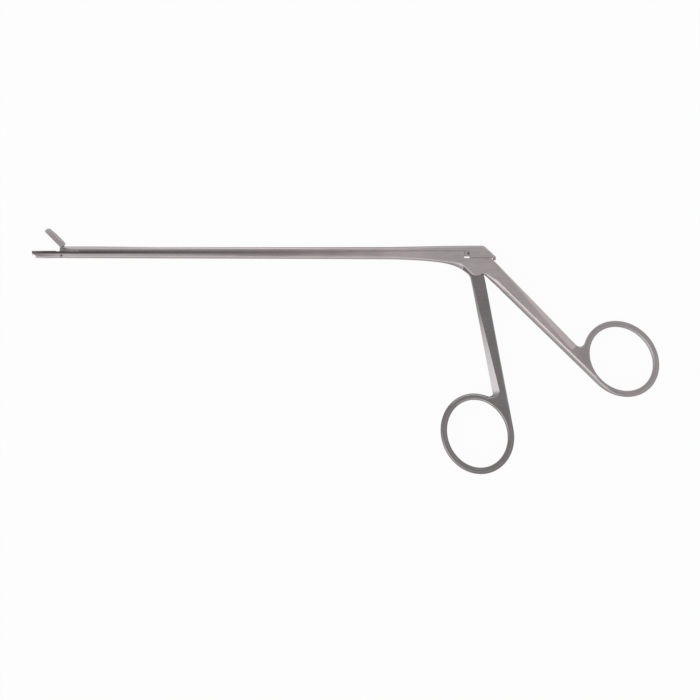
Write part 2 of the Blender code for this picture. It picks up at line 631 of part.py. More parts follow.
half_web = WEB_WIDTH / 2
web_low = (web_front, WEB_BOTTOM, -half_web)
web_high = (BLOCK_FRONT + 0.6 * MM, SLIDE_BOTTOM + 0.5 * MM, half_web)
shape_with(slide, block_mesh("web", web_low, web_high), "UNION")
half_lip = LIP_WIDTH / 2
lip_low = (lip_front, LIP_BOTTOM, -half_lip)
lip_high = (BLOCK_TIP - 0.06 * MM, block_corner[1] - 0.05 * MM, half_lip)
shape_with(slide, block_mesh("lip", lip_low, lip_high), "UNION")
for number, place in enumerate(KEY_PLACES, 1):
    front = place - KEY_LENGTH / 2
    rear = place + KEY_LENGTH / 2
    neck = (front, head_low + 0.2 * MM, -KEY_NECK / 2), (rear, key_top, KEY_NECK / 2)
    head_front = (front + 0.02 * MM, head_low, -KEY_HEAD / 2)
    head_rear = (rear - 0.02 * MM, head_top - SLIDE_GAP, KEY_HEAD / 2)
    shape_with(slide, block_mesh(f"key_neck_{number}", *neck), "UNION")
    shape_with(slide, block_mesh(f"key_head_{number}", head_front, head_rear), "UNION")
room_half = 2.55 * MM           # room for the lever's fork, each side of the drive pin
room_top = DRIVE_HEIGHT + DRIVE_PIN_RADIUS + 0.6 * MM
room_low = (DRIVE_PLACE[0] - room_half, WEB_BOTTOM - 2 * MM, -SLOT_HALF)
room_high = (DRIVE_PLACE[0] + room_half, room_top, SLOT_HALF)
shape_with(slide, block_mesh("lever_room", room_low, room_high))
fork_low = (SLIDE_NOSE - 2 * MM, SLIDE_BOTTOM - 1 * MM, -tongue_half)
fork_high = (LINK_PLACE[0] + 1.35 * MM, BLOCK_HEIGHT + 1 * MM, tongue_half)
shape_with(slide, block_mesh("nose_fork", fork_low, fork_high))
blind_end = HALF_BOX - SKIN
web_pin_hole = WEB_PIN_RADIUS + PIN_GAP
shape_with(slide, rod_mesh("link_pin_hole", LINK_PLACE, LINK_PIN_RADIUS + PIN_GAP, -CUT, CUT, 24))
shape_with(slide, rod_mesh("drive_pin_hole", DRIVE_PLACE, DRIVE_PIN_RADIUS + PIN_GAP, -CUT, blind_end, 24))
shape_with(slide, rod_mesh("web_pin_hole", WEB_PIN_PLACE, web_pin_hole, -CUT, CUT, 20))

# Upper jaw: drawn closed with its pivot at the origin of its own plane, then opened
rim = JAW_RIM + BITE_GAP - JAW_PIVOT[1]
jaw_tip = -REACH - JAW_PIVOT[0] + 0.15 * MM
heel = SLIDE_NOSE - TRAVEL - JAW_PIVOT[0] - 0.30 * MM
jaw_back = rim + JAW_THICKNESS
back_spots = [(heel - 1.5 * MM, jaw_back), (heel - 3.0 * MM, jaw_back), (-8.0 * MM, jaw_back)]
crown_corner = (jaw_tip + 0.2 * MM, jaw_back - 0.35 * MM)
crown = corner((-8.5 * MM, jaw_back), crown_corner, (jaw_tip, rim + 0.8 * MM), 1.4 * MM)
bite = corner((jaw_tip, rim + 2 * MM), (jaw_tip, rim), (heel, rim), 0.7 * MM)
blade = np.vstack([
    edged([(heel, rim)], SHARP),
    edged([(heel, jaw_back - 0.2 * MM)], 0.3 * MM),
    edged(back_spots, [0.8 * MM, 1.2 * MM, 1.2 * MM]),
    edged(crown, 0.6 * MM),
    edged(bite, 0.25 * MM),
])
blade = divide(blade, 1.5 * MM)


def jaw_half_width(points):
    """Half the width of a jaw, rounded in plan towards its tip."""
    into_tip = np.clip((points[:, 0] - jaw_tip) / HALF_JAW, 0.0, 1.0)
    return HALF_JAW * np.sqrt(1 - (1 - into_tip) ** 2 * TIP_ROUND)


upper_jaw = add_piece("upper_jaw", plate_mesh("upper_jaw", [blade], jaw_half_width), satin)
upper_jaw.location = (JAW_PIVOT[0], JAW_PIVOT[1], 0.0)
upper_jaw.rotation_euler = (0.0, 0.0, -JAW_OPENING)


def shape_jaw(data, operation="DIFFERENCE"):
    """As shape_with, for a tool drawn in the jaw's own plane."""
    data.transform(Matrix.Translation((JAW_PIVOT[0], JAW_PIVOT[1], 0.0)))
    shape_with(upper_jaw, data, operation)


link_spot = (-TRAVEL / 2, LINK_HEIGHT - JAW_PIVOT[1])
tongue = np.vstack([
    arc((0, 0), TONGUE_BOSS, -160 * DEG, 22 * DEG),
    arc(link_spot, LINK_PIN_RADIUS + 0.42 * MM, 10 * DEG, 100 * DEG),
    [(heel - 0.9 * MM, rim + 1.7 * MM), (heel - 0.9 * MM, rim + 0.15 * MM)],
])
shape_jaw(prism_mesh("tongue", tongue, -TONGUE_WIDTH / 2, TONGUE_WIDTH / 2), "UNION")
shape_jaw(cup_mesh("upper_cup", (cup_middle - JAW_PIVOT[0] + 0.15 * MM, rim, 0.0), cup_size))
shape_jaw(rod_mesh("jaw_bore", (0, 0), JAW_PIN_RADIUS + PIN_GAP, -CUT, CUT, 24))
link_turn = math.atan2(link_spot[1], link_spot[0])
link_line = unit(link_turn)
slot_round = LINK_PIN_RADIUS + PIN_GAP
slot_near = LINK_ARM * math.cos(JAW_OPENING / 2)
link_slot = np.vstack([
    arc(link_line * LINK_ARM, slot_round, link_turn - math.pi / 2, link_turn + math.pi / 2),
    arc(link_line * slot_near, slot_round, link_turn + math.pi / 2, link_turn + 1.5 * math.pi),
])
shape_jaw(prism_mesh("link_slot", link_slot, -CUT, CUT))

# Finger handle: fork, boss, stop nose, arm and ring, one forging
finger_back = np.array(FINGER_BACK)
finger_top = finger_back + finger_across * FINGER_ARM
finger_fillet, finger_meet, finger_foot = root_fillet(
    FINGER_RING, finger_top, finger_along, finger_across, ROOT_FILLET[0], 70 * MM)
finger_first = ring_turn(FINGER_RING, FINGER_RING["band"], finger_meet)
finger_last = FINGER_TURN
if finger_last < finger_first:
    finger_last += 2 * math.pi
stop_near = stop_low + stop_out * STOP_GAP + stop_rise * 0.02 * MM
stop_far = stop_near + stop_rise * 1.0 * MM
stop_knee = stop_near + unit(-37.5 * DEG) * 3.9 * MM
stop_arc = corner(stop_near, stop_knee, finger_top + finger_along * 4 * MM, 3.6 * MM)
finger_round = (FINGER_RING["band"] - RING_FLAT) / 2
lever_turn = math.pi / 2 - DRIVE_SWING
lever_line = unit(lever_turn)
lever_side = np.array([-lever_line[1], lever_line[0]])
fork_root = 3.4 * MM
fork_tip = math.hypot(*DRIVE_PLACE) + 0.75 * MM
fork_room = DRIVE_PIN_RADIUS + PIN_GAP
fork_floor = DRIVE_HEIGHT - 0.02 * MM


def on_lever(along, side):
    return lever_line * along + lever_side * side


fork_turns = (lever_turn - math.pi / 2, lever_turn - 1.5 * math.pi)
fork_arc = arc(on_lever(fork_floor, 0.0), fork_room, *fork_turns, 22.5 * DEG)
fork_right = [on_lever(fork_root, -FORK_HALF), on_lever(fork_tip, -FORK_HALF), on_lever(fork_tip, -fork_room)]
fork_left = [on_lever(fork_tip, fork_room), on_lever(fork_tip, FORK_HALF), on_lever(fork_root, FORK_HALF)]
finger_outline = np.vstack([
    edged([stop_far, stop_near], 0.2 * MM),
    edged(stop_arc, 0.5 * MM),
    edged([finger_top + finger_along * 1.5 * MM, finger_foot - finger_along * 3 * MM], 0.3 * MM),
    edged(finger_fillet, np.linspace(0.4 * MM, finger_round, len(finger_fillet))),
    edged(ring_points(FINGER_RING, FINGER_RING["band"], finger_first, finger_last)[1:], finger_round),
    edged([FINGER_TOUCH - finger_along * 6 * MM], 0.6 * MM),
    edged([finger_back], 0.3 * MM),
    edged(arc((0, 0), LEVER_BOSS, -14 * DEG, 36 * DEG), SHARP),
    edged(fork_right, SHARP),
    edged(fork_arc, SHARP),
    edged(fork_left, SHARP),
    edged(arc((0, 0), LEVER_BOSS, 122 * DEG, 140 * DEG), SHARP),
])
finger_outline = divide(finger_outline, LONG_STEP)
finger_bore = edged(ring_points(FINGER_RING, 0.0, 2 * math.pi, 0.0)[:-1], finger_round)


def finger_half_width(points):
    return handle_half_width(points, LEVER_WIDTH / 2, TAPER_END[1])


finger_mesh = plate_mesh("finger_handle", [finger_outline, finger_bore], finger_half_width)
finger_handle = add_piece("finger_handle", finger_mesh, dark_satin)
finger_length = np.linalg.norm(finger_foot - finger_top) - 0.6 * MM
grind_facet(finger_handle, "finger_facet", finger_top, finger_along, -finger_across, finger_length,
            FACET_WIDTH[0], FACET_TILT[0], finger_half_width)
shape_with(finger_handle, rod_mesh("handle_bore", (0, 0), SCREW_RADIUS + PIN_GAP, -CUT, CUT))

# Main screw: shank, and a slotted head sunk in the far cheek
head_far = -HALF_BOX + 0.02 * MM
head_near = -HALF_BOX + SCREW_HEAD_DEPTH - 0.05 * MM
blind_pin = blind_end - 0.1 * MM
shank_mesh = rod_mesh("pivot_screw", (0, 0), SCREW_RADIUS, (head_far + head_near) / 2, blind_pin)
pivot_screw = add_piece("pivot_screw", shank_mesh, pin_steel)
shape_with(pivot_screw, rod_mesh("screw_head", (0, 0), SCREW_HEAD_RADIUS, head_far, head_near, 40), "UNION")
driver_low = (-CUT, -SCREW_SLOT[0] / 2, -CUT)
driver_high = (CUT, SCREW_SLOT[0] / 2, -HALF_BOX + SCREW_SLOT[1])
shape_with(pivot_screw, block_mesh("driver_slot", driver_low, driver_high))

# Pins: name, place, radius, far end, near end
PINS = (
    ("jaw_pivot_pin", JAW_PIVOT, JAW_PIN_RADIUS, -HALF_JAW + 0.04 * MM, HALF_JAW - 0.04 * MM),
    ("jaw_link_pin", LINK_PLACE, LINK_PIN_RADIUS, -HALF_SHAFT + 0.06 * MM, HALF_SHAFT - 0.06 * MM),
    ("drive_pin", DRIVE_PLACE, DRIVE_PIN_RADIUS, -HALF_BOX + 0.05 * MM, blind_pin),
    ("web_pin", WEB_PIN_PLACE, WEB_PIN_RADIUS, -WEB_WIDTH / 2 + WEB_PIN_SUNK, WEB_WIDTH / 2 - WEB_PIN_SUNK),
)
for name, place, radius, far_end, near_end in PINS:
    add_piece(name, rod_mesh(name, place, radius, far_end, near_end, 24), pin_steel, place)

# Lay the instrument on its side: the far cheek on z = 0, the middle of its footprint at the origin
spots = [piece.matrix_basis @ v.co for piece in root.children for v in piece.data.vertices]
low = np.min(spots, axis=0)
high = np.max(spots, axis=0)
root.location = (-(low[0] + high[0]) / 2, -(low[1] + high[1]) / 2, HALF_BOX)
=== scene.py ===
"""Disc rongeur in satin stainless steel, lying on its side on a white table.

The pieces follow the order in which the instrument is put together: the frame forging,
the slide, the upper cup jaw, the finger handle, then the screw and the pins.
"""
import math

import bmesh
import bpy
import numpy as np
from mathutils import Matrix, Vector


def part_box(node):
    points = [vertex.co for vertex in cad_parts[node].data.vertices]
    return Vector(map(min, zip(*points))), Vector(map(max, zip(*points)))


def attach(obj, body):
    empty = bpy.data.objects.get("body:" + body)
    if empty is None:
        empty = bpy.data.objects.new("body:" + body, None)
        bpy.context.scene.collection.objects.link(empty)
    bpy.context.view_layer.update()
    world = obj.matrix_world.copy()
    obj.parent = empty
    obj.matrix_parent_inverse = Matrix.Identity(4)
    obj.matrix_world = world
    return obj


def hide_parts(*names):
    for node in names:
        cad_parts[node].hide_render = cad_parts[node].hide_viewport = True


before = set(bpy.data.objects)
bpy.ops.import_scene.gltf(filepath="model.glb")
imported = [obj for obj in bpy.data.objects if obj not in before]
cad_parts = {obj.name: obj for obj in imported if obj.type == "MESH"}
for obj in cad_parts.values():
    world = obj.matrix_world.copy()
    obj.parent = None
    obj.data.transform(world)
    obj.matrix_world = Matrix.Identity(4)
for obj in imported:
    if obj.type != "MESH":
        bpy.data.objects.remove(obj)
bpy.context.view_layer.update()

# The frame is one stainless forging: lower shaft with the fixed cup jaw, box, rear handle
# and thumb ring. It is ground to shape, its edges are broken by hand, and blasting with fine
# glass beads and light brushing along its length give it a pale satin with soft streaks.
MM = 0.001
SHAFT_SPOT = -40.0 * MM    # left of this the shaft has its fine finish
BOX_SPOT = 30.0 * MM       # and right of this the box has its coarser one
REAR_RING = ("X", 84.0 * MM, 100.0 * MM)  # along X, the rear arm turns into its ring here
# Painted shade along the running gap between the slide and the shaft: a dark band in the
# colour.
GAP_SHADE_LINE = 40.08 * MM      # painted shade along the running gap, centred just below it
GAP_SHADE_RUN = (-105.0 * MM, 25.0 * MM)  # the painted gap shade shows most at the jaws, and not by the box
GAP_SHADE_SPREAD = (0.15 * MM, 1.0 * MM)  # the painted shade is full this near its line, and gone this far off
GAP_SHADE_TONE = "#5c5553"
GRAIN = 0.35 * MM          # blasted grain, drawn coarser than the real 0.1 mm so that it shows
CLOUDS = 14.0 * MM         # size of the paler and deeper patches
RELIEF_DEPTH = 0.05 * MM
RING_STEEP = (0.80, 0.98)  # painted shade on a ring's rounded edges up to this steepness
SHARP_EDGE = math.radians(14.0)  # an edge that turns by less is shaded round
FLAT = math.radians(0.4)   # faces that turn by less are one face
SAME_PLACE = 0.002 * MM    # corners nearer than this are one


def linear(hex_colour):
    """An sRGB hex colour as linear red, green, blue and full alpha."""
    srgb = np.array([int(hex_colour[i:i + 2], 16) for i in (1, 3, 5)]) / 255.0
    rgb = np.where(srgb <= 0.04045, srgb / 12.92, ((srgb + 0.055) / 1.055) ** 2.4)
    return (*rgb, 1.0)


def add_node(tree, kind, settings=None, links=None):
    """One node. Settings go to its sockets, by name or number, or else to its properties."""
    node = tree.nodes.new(kind)
    for name, value in (settings or {}).items():
        if isinstance(name, int) or name in node.inputs:
            node.inputs[name].default_value = value
        else:
            setattr(node, name, value)
    for name, source in (links or {}).items():
        tree.links.new(source, node.inputs[name])
    return node


def satin_stainless(name, pale, deep, box_roughness, shaft_roughness, brush_turn,
                    wall_shade_tone="#969090", steep=(0.60, 0.88), brush_mm=0.25, relief=0.06,
                    ring=REAR_RING, ring_rubbing=0.0, gap_shade=0.0, facet_shade_run=None):
    """Satin stainless steel: bead-blasted grain, with fine brushing along one direction.

    pale and deep are the tones between which the surface varies. The blasting is coarser
    over the box than along the shaft, so the roughness goes from one to the other. Upright
    sides get painted shade, towards wall_shade_tone: steep gives how far a surface looks
    up, as |z| of its normal, where it is all shaded side and all lit face. ring says along
    which axis an arm turns into its ring, and from where to where: there even the broken
    edges get the full painted shade of the upright sides, and the faces are rubbed smoother
    by ring_rubbing. gap_shade is the strength of the painted shade along the running gap.
    facet_shade_run says from where to where along that axis a ground facet gets more
    painted shade, and the value that steep begins with at the end of that run. brush_turn
    is the direction of the brushing in the table's plane, in degrees, and brush_mm the
    spacing of its lines, drawn coarser than the real 0.05 mm so that it shows.
    """
    steel = bpy.data.materials.new(name)
    steel.use_nodes = True
    tree = steel.node_tree
    shader = tree.nodes["Principled BSDF"]
    shader.inputs["Metallic"].default_value = 1.0
    place = add_node(tree, "ShaderNodeTexCoord")
    along = add_node(tree, "ShaderNodeMapping",
                     {"Rotation": (0.0, 0.0, math.radians(-brush_turn)),
                      "Scale": (0.04, 1.0, 1.0)},
                     {"Vector": place.outputs["Object"]})
    brushing = add_node(tree, "ShaderNodeTexNoise",
                        {"Scale": 1.0 / (brush_mm * MM), "Detail": 3.0, "Roughness": 0.6},
                        {"Vector": along.outputs["Vector"]})
    grain = add_node(tree, "ShaderNodeTexNoise",
                     {"Scale": 1.0 / GRAIN, "Detail": 2.0},
                     {"Vector": place.outputs["Object"]})
    clouding = add_node(tree, "ShaderNodeTexNoise",
                        {"Scale": 1.0 / CLOUDS, "Detail": 4.0, "Roughness": 0.55},
                        {"Vector": place.outputs["Object"]})
    mixed = add_node(tree, "ShaderNodeMix",
                     {"data_type": "FLOAT", "Factor": 0.55},
                     {"A": clouding.outputs["Fac"], "B": brushing.outputs["Fac"]})
    tone = add_node(tree, "ShaderNodeMapRange",
                    {"From Min": 0.32, "From Max": 0.68},
                    {"Value": mixed.outputs["Result"]})
    colour = add_node(tree, "ShaderNodeMix",
                      {"data_type": "RGBA", 6: linear(deep), 7: linear(pale)},
                      {"Factor": tone.outputs["Result"]})
    spot = add_node(tree, "ShaderNodeSeparateXYZ", None, {0: place.outputs["Object"]})
    to_ring = [add_node(tree, "ShaderNodeMapRange",
                        {"interpolation_type": "SMOOTHSTEP", "From Min": ring[1],
                         "From Max": ring[2], "To Min": before, "To Max": after},
                        {"Value": spot.outputs[ring[0]]})
               for before, after in ((steep[0], RING_STEEP[0]), (steep[1], RING_STEEP[1]),
                                     (0.0, -ring_rubbing))]
    # Painted shade: along the arm a ground facet is shaded darker, by raising where the shaded
    # sides begin.
    if facet_shade_run:
        facet_shade_start = add_node(tree, "ShaderNodeMapRange",
                        {"From Min": facet_shade_run[0], "From Max": facet_shade_run[1],
                         "To Min": steep[0], "To Max": facet_shade_run[2]},
                        {"Value": spot.outputs[ring[0]]})
        tree.links.new(facet_shade_start.outputs["Result"], to_ring[0].inputs["To Min"])
    # Painted shade: the base colour goes darker on surfaces that face sideways rather than up,
    # and on a ring's broken edges.
    upright = add_node(tree, "ShaderNodeSeparateXYZ", None, {0: place.outputs["Normal"]})
    facing = add_node(tree, "ShaderNodeMath", {"operation": "ABSOLUTE"},
                      {0: upright.outputs["Z"]})
    wall_shade = add_node(tree, "ShaderNodeMapRange", {"interpolation_type": "SMOOTHSTEP"},
                    {"Value": facing.outputs[0], "From Min": to_ring[0].outputs["Result"],
                     "From Max": to_ring[1].outputs["Result"]})
    wall_shaded = add_node(tree, "ShaderNodeMix",
                        {"data_type": "RGBA", 6: linear(wall_shade_tone)},
                        {"Factor": wall_shade.outputs["Result"], 7: colour.outputs[2]})
    # Painted shade: near the running gap the colour is pulled towards a dark tone, less towards
    # the box.
    off_line = add_node(tree, "ShaderNodeMath", {"operation": "SUBTRACT", 1: GAP_SHADE_LINE},
                        {0: spot.outputs["Y"]})
    off_line = add_node(tree, "ShaderNodeMath", {"operation": "ABSOLUTE"},
                        {0: off_line.outputs[0]})
    gap_shade_band = add_node(tree, "ShaderNodeMapRange",
                    {"interpolation_type": "SMOOTHSTEP", "From Min": GAP_SHADE_SPREAD[0],
                     "From Max": GAP_SHADE_SPREAD[1], "To Min": gap_shade, "To Max": 0.0},
                    {"Value": off_line.outputs[0]})
    gap_shade_fade = add_node(tree, "ShaderNodeMapRange",
                        {"From Min": GAP_SHADE_RUN[0], "From Max": GAP_SHADE_RUN[1],
                         "To Min": 1.0, "To Max": 0.0},
                        {"Value": spot.outputs["X"]})
    gap_shade_band = add_node(tree, "ShaderNodeMath", {"operation": "MULTIPLY"},
                    {0: gap_shade_band.outputs["Result"], 1: gap_shade_fade.outputs["Result"]})
    gap_shaded = add_node(tree, "ShaderNodeMix",
                     {"data_type": "RGBA", 7: linear(GAP_SHADE_TONE)},
                     {"Factor": gap_shade_band.outputs[0], 6: wall_shaded.outputs[2]})
    tree.links.new(gap_shaded.outputs[2], shader.inputs["Base Color"])
    blasting = add_node(tree, "ShaderNodeMapRange",
                        {"interpolation_type": "SMOOTHSTEP",
                         "From Min": SHAFT_SPOT, "From Max": BOX_SPOT,
                         "To Min": shaft_roughness, "To Max": box_roughness},
                        {"Value": spot.outputs["X"]})
    uneven = add_node(tree, "ShaderNodeMapRange",
                      {"From Min": 0.3, "From Max": 0.7, "To Min": -0.04, "To Max": 0.04},
                      {"Value": mixed.outputs["Result"]})
    worked = add_node(tree, "ShaderNodeMath", {"operation": "ADD"},
                      {0: blasting.outputs["Result"], 1: to_ring[2].outputs["Result"]})
    sheen = add_node(tree, "ShaderNodeMath", {"operation": "ADD"},
                     {0: worked.outputs[0], 1: uneven.outputs["Result"]})
    tree.links.new(sheen.outputs[0], shader.inputs["Roughness"])
    surface = add_node(tree, "ShaderNodeMix",
                       {"data_type": "FLOAT", "Factor": 0.5},
                       {"A": grain.outputs["Fac"], "B": brushing.outputs["Fac"]})
    bump = add_node(tree, "ShaderNodeBump",
                    {"Strength": relief, "Distance": RELIEF_DEPTH},
                    {"Height": surface.outputs["Result"]})
    tree.links.new(bump.outputs["Normal"], shader.inputs["Normal"])
    return steel


def shade(data):
    """Broken edges shaded round, and sharp ones left sharp."""
    data.shade_smooth()
    data.set_sharp_from_angle(angle=SHARP_EDGE)


def corner_points(piece):
    """The piece's corners as rows of x, y and z."""
    points = np.empty(3 * len(piece.data.vertices))
    piece.data.vertices.foreach_get("co", points)
    return points.reshape(-1, 3)


def centre_of(node):
    """The middle of a node's box."""
    low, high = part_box(node)
    return (np.array(low) + np.array(high)) / 2


def forged_piece(name, node, body, steel):
    """The forging as one smooth skin, from the node's surface with its corners merged."""
    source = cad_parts[node]
    skin = bmesh.new()
    skin.from_mesh(source.data)
    skin.transform(source.matrix_world)
    bmesh.ops.remove_doubles(skin, verts=skin.verts, dist=SAME_PLACE)
    bmesh.ops.dissolve_degenerate(skin, edges=skin.edges, dist=SAME_PLACE / 2)
    bmesh.ops.dissolve_limit(skin, angle_limit=FLAT, verts=skin.verts, edges=skin.edges)
    data = bpy.data.meshes.new(name)
    skin.to_mesh(data)
    skin.free()
    piece = bpy.data.objects.new(name, data)
    bpy.context.collection.objects.link(piece)
    data.materials.clear()
    data.materials.append(steel)
    shade(data)
    weigh = piece.modifiers.new("flat faces stay flat", "WEIGHTED_NORMAL")
    weigh.keep_sharp = True
    weigh.mode = "FACE_AREA_WITH_ANGLE"
    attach(piece, body)
    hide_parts(node)
    return piece


frame_steel = satin_stainless("bead-blasted satin stainless, brushed along the shaft",
                              "#dfd4d5", "#c9bec0", 0.50, 0.21, 0.0,
                              ring_rubbing=0.16, gap_shade=0.75)
frame_forging = forged_piece("frame_forging", "frame", "frame", frame_steel)

CROWN_START = 39.80 * MM   # below this height the shaft's sides are dressed round by hand
CROWN_RUN = 0.95 * MM      # height over which they fall away
CROWN_DROP = 0.24 * MM     # and by how much, at the jaws
CROWN_FADE = (-110.0 * MM, 5.0 * MM)  # from the jaws, where it is full, to none by the box
CROWN_ROWS = 5             # cuts along the shaft over that height
CROWN_STEP = 8.0 * MM      # and from one cut across it to the next
CORE = (0.9 * MM, 1.5 * MM)  # nothing falls this near the middle, so that the slots stay


def dress_shaft(piece, middle):
    """Sides rounded by hand: |z| falls by drop * r(y) * s(x) * w(|z|), each a smooth step."""
    skin = bmesh.new()
    skin.from_mesh(piece.data)
    cuts = [((0.0, height, 0.0), (0.0, 1.0, 0.0))
            for height in np.linspace(CROWN_START, CROWN_START - CROWN_RUN, CROWN_ROWS)]
    cuts += [((place, 0.0, 0.0), (1.0, 0.0, 0.0))
             for place in np.arange(CROWN_FADE[0] - 1.5 * CROWN_STEP, CROWN_FADE[1],
                                    CROWN_STEP)]
    for place, facing in cuts:
        shaft = [face for face in skin.faces
                 if min(corner.co.x for corner in face.verts) < CROWN_FADE[1]]
        edges = {edge for face in shaft for edge in face.edges}
        corners = {corner for face in shaft for corner in face.verts}
        bmesh.ops.bisect_plane(skin, geom=shaft + list(edges) + list(corners),
                               dist=SAME_PLACE, plane_co=place, plane_no=facing)
    skin.to_mesh(piece.data)
    skin.free()
    points = corner_points(piece)
    out = np.abs(points[:, 2] - middle)
    rise = np.clip([(CROWN_START - points[:, 1]) / CROWN_RUN,
                    (CROWN_FADE[1] - points[:, 0]) / (CROWN_FADE[1] - CROWN_FADE[0]),
                    (out - CORE[0]) / (CORE[1] - CORE[0])], 0.0, 1.0)
    drop = CROWN_DROP * np.prod(rise * rise * (3.0 - 2.0 * rise), axis=0)
    points[:, 2] -= np.sign(points[:, 2] - middle) * drop
    piece.data.vertices.foreach_set("co", points.ravel())
    shade(piece.data)


dress_shaft(frame_forging, centre_of("frame")[2])

# The slide is milled from one bar and runs on top of the shaft, with its block over the
# box. Its back is rounded and brushed along its length in the same satin finish, and its
# guide rail stands in the running gap, so that no light comes through.
slide_steel = satin_stainless("satin stainless bar, milled and brushed lengthwise",
                              "#dfd3d5", "#c9bec1", 0.50, 0.21, 0.0, relief=0.05, gap_shade=0.75)
slide_bar = forged_piece("slide_bar", "slide", "slide", slide_steel)

RUNNING_LINE = 40.55 * MM  # top of the shaft, on which the slide runs
RUNNING_GAP = 0.10 * MM    # between the slide and the shaft
RAIL_WIDTH = 1.0 * MM      # the guide rail that fills it along the middle
RAIL_SHY = 7.0 * MM        # the rail starts this far behind the slide's nose
RAIL_END = 46.0 * MM


def straight_rail(name, start, end, foot, height, middle, width):
    """A rectangle carried along X: corners (x, foot + v height, middle + u width / 2)."""
    u = np.array([-1.0, 1.0, 1.0, -1.0])
    v = np.array([0.0, 0.0, 1.0, 1.0])
    run = np.repeat([start, end], 4)
    points = np.column_stack([run, foot + np.tile(v, 2) * height,
                              middle + np.tile(u, 2) * width / 2])
    side = np.arange(4)
    onward = (side + 1) % 4
    faces = np.column_stack([side, onward, onward + 4, side + 4]).tolist()
    ends = [[3, 2, 1, 0], [4, 5, 6, 7]]
    data = bpy.data.meshes.new(name)
    data.from_pydata(points.tolist(), [], faces + ends)
    rail = bmesh.new()
    rail.from_mesh(data)
    bmesh.ops.recalc_face_normals(rail, faces=rail.faces)
    rail.to_mesh(data)
    rail.free()
    piece = bpy.data.objects.new(name, data)
    bpy.context.collection.objects.link(piece)
    return piece


slide_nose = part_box("slide")[0][0]
guide_rail = straight_rail("guide_rail", slide_nose + RAIL_SHY, RAIL_END, RUNNING_LINE,
                           RUNNING_GAP, centre_of("slide")[2], RAIL_WIDTH)
guide_rail.data.materials.append(slide_steel)
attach(guide_rail, "slide")

# The upper jaw is a small cup cutter, milled with a sharp rim and a tongue that hangs in the
# shaft on its pivot pin. It is finished finer than the forging, and looks smoother.
jaw_steel = satin_stainless("fine satin stainless cutter",
                            "#dbd0d2", "#c4b9bc", 0.44, 0.44, -45.0, brush_mm=0.2, relief=0.04)
jaw_cup = forged_piece("jaw_cup", "upper_jaw", "upper_jaw", jaw_steel)

# The finger handle is a second forging: lever, arm and finger ring. Its face is brushed
# along the arm and comes out darker than the frame beside it: partly because its smoother
# finish reflects the dark tent overhead, and partly from painted shade in its darker base
# tones and upright sides, and on its ground facet towards the ring.
handle_steel = satin_stainless("darker satin stainless, brushed along the arm",
                               "#c0babb", "#aea8a9", 0.26, 0.26, -79.0,
                               wall_shade_tone="#767171", steep=(0.40, 1.0), relief=0.05,
                               ring=("Y", -19.5 * MM, -22.5 * MM),
                               facet_shade_run=(-10.0 * MM, 20.0 * MM, 0.86))
handle_forging = forged_piece("handle_forging", "finger_handle", "finger_handle",
                              handle_steel)

# The line across the root of the ring at which the scoop ends, from the outside inwards
ROOT_LINE = np.array([(56.764, -17.848), (57.109, -19.617)]) * MM
ON_LINE = 0.02 * MM        # a corner this near the line is on it
SCOOP_END = 1.75 * MM      # the scoop reaches this far in along it
SCOOP_FLOOR = 0.3 * MM     # and stays this far above the middle of the thickness
# The ring's broken edge there: in from the outside, and up from the middle of the thickness
RING_EDGE = np.array([(0.0, 1.175), (0.10, 1.606), (0.39, 1.97), (0.82, 2.214),
                      (1.33, 2.3)]) * MM


def blend_scoop(piece, middle):
    """The scoop's end on ROOT_LINE lifted to RING_EDGE: |z| = edge(distance along the line)."""
    points = corner_points(piece)
    along = (ROOT_LINE[1] - ROOT_LINE[0]) / np.linalg.norm(ROOT_LINE[1] - ROOT_LINE[0])
    away = points[:, :2] - ROOT_LINE[0]
    inward = away @ along
    off_line = np.abs(away @ np.array([-along[1], along[0]]))
    out = points[:, 2] - middle
    edge = np.interp(inward, RING_EDGE[:, 0], RING_EDGE[:, 1])
    low = ((off_line < ON_LINE) & (inward > -ON_LINE) & (inward < SCOOP_END)
           & (np.abs(out) > SCOOP_FLOOR) & (np.abs(out) < edge))
    points[low, 2] = middle + np.sign(out[low]) * edge[low]
    piece.data.vertices.foreach_set("co", points.ravel())
    shade(piece.data)


blend_scoop(handle_forging, centre_of("finger_handle")[2])

# The screw and the pins are turned from stainless bar: close, even rings from the lathe
# round each axis, and a tighter shine than the forgings.
TURNED_TONE = "#a39a9b"
LATHE_RINGS = 0.9 * MM     # drawn coarser than the real 0.1 mm so that they show
LATHE_DEPTH = 0.02 * MM
for node in ("pivot_screw", "jaw_pivot_pin", "drive_pin", "jaw_link_pin", "web_pin"):
    turned = bpy.data.materials.new(f"turned stainless {node}")
    turned.use_nodes = True
    tree = turned.node_tree
    shader = tree.nodes["Principled BSDF"]
    shader.inputs["Metallic"].default_value = 1.0
    shader.inputs["Base Color"].default_value = linear(TURNED_TONE)
    place = add_node(tree, "ShaderNodeTexCoord")
    centred = add_node(tree, "ShaderNodeMapping",
                       {"Location": tuple(-centre_of(node))},
                       {"Vector": place.outputs["Object"]})
    rings = add_node(tree, "ShaderNodeTexWave",
                     {"wave_type": "RINGS", "rings_direction": "Z",
                      "Scale": 1.0 / LATHE_RINGS, "Distortion": 0.4, "Detail": 1.0},
                     {"Vector": centred.outputs["Vector"]})
    sheen = add_node(tree, "ShaderNodeMapRange",
                     {"To Min": 0.22, "To Max": 0.32},
                     {"Value": rings.outputs["Fac"]})
    tree.links.new(sheen.outputs["Result"], shader.inputs["Roughness"])
    bump = add_node(tree, "ShaderNodeBump",
                    {"Strength": 0.08, "Distance": LATHE_DEPTH},
                    {"Height": rings.outputs["Fac"]})
    tree.links.new(bump.outputs["Normal"], shader.inputs["Normal"])
    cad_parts[node].data.materials.clear()
    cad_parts[node].data.materials.append(turned)

